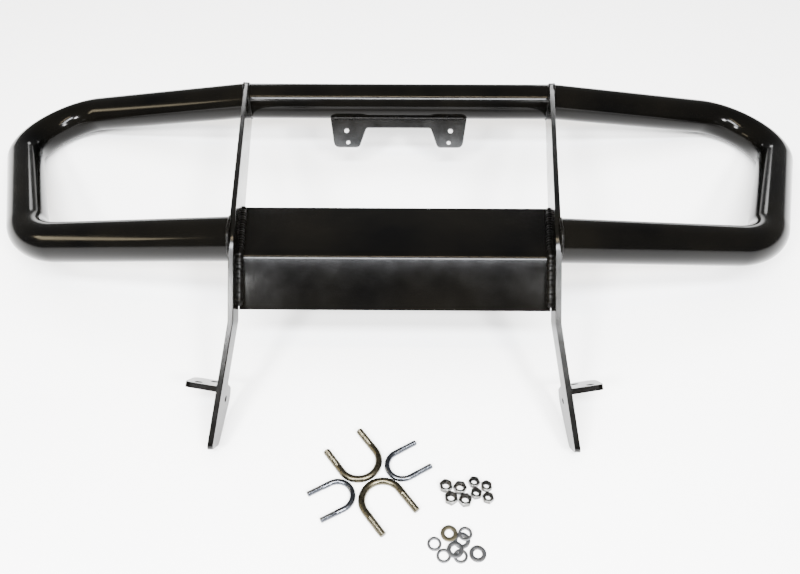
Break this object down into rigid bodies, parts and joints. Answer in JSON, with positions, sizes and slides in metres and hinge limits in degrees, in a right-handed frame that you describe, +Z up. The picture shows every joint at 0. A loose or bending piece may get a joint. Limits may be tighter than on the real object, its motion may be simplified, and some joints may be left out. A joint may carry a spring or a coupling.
{
  "type": "front grille guard",
  "caption": "Black tube front guard with side wings, bent centre plate, light bracket and tabs, laid on its back with loose U-bolts, nuts and washers.",
  "frame": {"origin": "middle of the underside of the whole part, on the floor it lies on", "axes": "+X across the guard, +Y from the loose hardware towards the top bar, +Z up from the floor"},
  "size_m": [1.1928, 0.7374, 0.1925],
  "materials": {
    "black_coat": "gloss black powder coat",
    "coated_weld": "gloss black powder coat over weld bead",
    "yellow_zinc": "warm zinc plate",
    "blue_zinc": "bluish zinc plate",
    "nut_zinc": "bright zinc plate",
    "washer_zinc": "dull zinc plate"
  },
  "bodies": {
    "guard": {"top_bar": "black_coat", "centre_plate": "black_coat", "light_bracket": "black_coat", "bracket_weld": "coated_weld", "right_loop": "black_coat", "left_loop": "black_coat", "right_side_plate": "black_coat", "left_side_plate": "black_coat", "right_tab": "black_coat", "left_tab": "black_coat", "right_loop_upper_weld": "coated_weld", "left_loop_upper_weld": "coated_weld", "right_loop_lower_weld": "coated_weld", "left_loop_lower_weld": "coated_weld", "right_top_bar_weld": "coated_weld", "left_top_bar_weld": "coated_weld", "right_centre_plate_weld": "coated_weld", "left_centre_plate_weld": "coated_weld", "right_tab_weld": "coated_weld", "left_tab_weld": "coated_weld"},
    "large_u_bolt_1": {"large_u_bolt_1": "yellow_zinc"},
    "large_u_bolt_2": {"large_u_bolt_2": "yellow_zinc"},
    "small_u_bolt_1": {"small_u_bolt_1": "blue_zinc"},
    "small_u_bolt_2": {"small_u_bolt_2": "blue_zinc"},
    "large_nut_1": {"large_nut_1": "nut_zinc"},
    "large_nut_2": {"large_nut_2": "nut_zinc"},
    "large_nut_3": {"large_nut_3": "nut_zinc"},
    "large_nut_4": {"large_nut_4": "nut_zinc"},
    "small_nut_1": {"small_nut_1": "nut_zinc"},
    "small_nut_2": {"small_nut_2": "nut_zinc"},
    "small_nut_3": {"small_nut_3": "nut_zinc"},
    "small_nut_4": {"small_nut_4": "nut_zinc"},
    "narrow_washer_1": {"narrow_washer_1": "washer_zinc"},
    "narrow_washer_2": {"narrow_washer_2": "washer_zinc"},
    "narrow_washer_3": {"narrow_washer_3": "washer_zinc"},
    "narrow_washer_4": {"narrow_washer_4": "washer_zinc"},
    "wide_washer_1": {"wide_washer_1": "washer_zinc"},
    "wide_washer_2": {"wide_washer_2": "washer_zinc"},
    "wide_washer_3": {"wide_washer_3": "washer_zinc"},
    "wide_washer_4": {"wide_washer_4": "washer_zinc"}
  },
  "joints": [
    {"name": "large_u_bolt_1_lift", "type": "slide", "parent": "guard", "child": "large_u_bolt_1", "axis": [0, 0, 1], "range_m": [0, 0.06]},
    {"name": "large_u_bolt_2_lift", "type": "slide", "parent": "guard", "child": "large_u_bolt_2", "axis": [0, 0, 1], "range_m": [0, 0.06]},
    {"name": "small_u_bolt_1_lift", "type": "slide", "parent": "guard", "child": "small_u_bolt_1", "axis": [0, 0, 1], "range_m": [0, 0.06]},
    {"name": "small_u_bolt_2_lift", "type": "slide", "parent": "guard", "child": "small_u_bolt_2", "axis": [0, 0, 1], "range_m": [0, 0.06]},
    {"name": "large_nut_1_lift", "type": "slide", "parent": "guard", "child": "large_nut_1", "axis": [0, 0, 1], "range_m": [0, 0.06]},
    {"name": "large_nut_2_lift", "type": "slide", "parent": "guard", "child": "large_nut_2", "axis": [0, 0, 1], "range_m": [0, 0.06]},
    {"name": "large_nut_3_lift", "type": "slide", "parent": "guard", "child": "large_nut_3", "axis": [0, 0, 1], "range_m": [0, 0.06]},
    {"name": "large_nut_4_lift", "type": "slide", "parent": "guard", "child": "large_nut_4", "axis": [0, 0, 1], "range_m": [0, 0.06]},
    {"name": "small_nut_1_lift", "type": "slide", "parent": "guard", "child": "small_nut_1", "axis": [0, 0, 1], "range_m": [0, 0.06]},
    {"name": "small_nut_2_lift", "type": "slide", "parent": "guard", "child": "small_nut_2", "axis": [0, 0, 1], "range_m": [0, 0.06]},
    {"name": "small_nut_3_lift", "type": "slide", "parent": "guard", "child": "small_nut_3", "axis": [0, 0, 1], "range_m": [0, 0.06]},
    {"name": "small_nut_4_lift", "type": "slide", "parent": "guard", "child": "small_nut_4", "axis": [0, 0, 1], "range_m": [0, 0.06]},
    {"name": "narrow_washer_1_lift", "type": "slide", "parent": "guard", "child": "narrow_washer_1", "axis": [0, 0, 1], "range_m": [0, 0.06]},
    {"name": "narrow_washer_2_lift", "type": "slide", "parent": "guard", "child": "narrow_washer_2", "axis": [0, 0, 1], "range_m": [0, 0.06]},
    {"name": "narrow_washer_3_lift", "type": "slide", "parent": "narrow_washer_2", "child": "narrow_washer_3", "axis": [0, 0, 1], "range_m": [0, 0.06]},
    {"name": "narrow_washer_4_lift", "type": "slide", "parent": "wide_washer_1", "child": "narrow_washer_4", "axis": [0, 0, 1], "range_m": [0, 0.06]},
    {"name": "wide_washer_1_lift", "type": "slide", "parent": "narrow_washer_3", "child": "wide_washer_1", "axis": [0, 0, 1], "range_m": [0, 0.06]},
    {"name": "wide_washer_2_lift", "type": "slide", "parent": "guard", "child": "wide_washer_2", "axis": [0, 0, 1], "range_m": [0, 0.06]},
    {"name": "wide_washer_3_lift", "type": "slide", "parent": "wide_washer_1", "child": "wide_washer_3", "axis": [0, 0, 1], "range_m": [0, 0.06]},
    {"name": "wide_washer_4_lift", "type": "slide", "parent": "wide_washer_1", "child": "wide_washer_4", "axis": [0, 0, 1], "range_m": [0, 0.06]}
  ]
}
